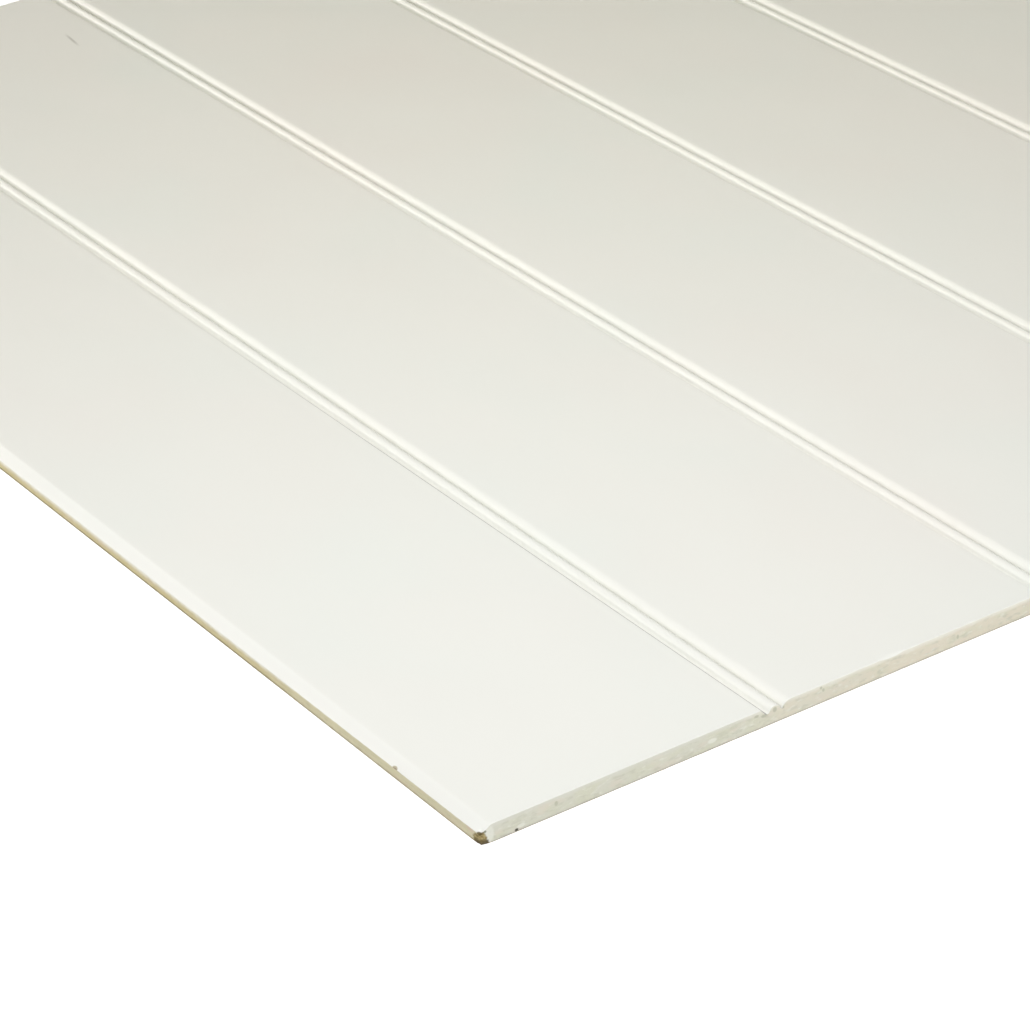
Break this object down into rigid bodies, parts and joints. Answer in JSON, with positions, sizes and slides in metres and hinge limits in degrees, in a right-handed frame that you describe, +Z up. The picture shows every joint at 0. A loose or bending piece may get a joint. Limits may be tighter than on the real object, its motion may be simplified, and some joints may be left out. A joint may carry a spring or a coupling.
{
  "type": "beadboard panel",
  "caption": "Flat rectangular fibreboard sheet with evenly spaced round beads moulded along its white painted face, for lining walls and ceilings.",
  "frame": {"origin": "centre of the back face, on the floor that the sheet lies on", "axes": "+X across the beads, +Y along the beads, +Z up out of the moulded face"},
  "size_m": [1.216, 0.6096, 0.006],
  "materials": {
    "painted_fibreboard": "satin off-white paint on the moulded face, bare tan fibreboard on the long edges and the back"
  },
  "bodies": {
    "root": {"beadboard_panel": "painted_fibreboard"}
  },
  "joints": []
}
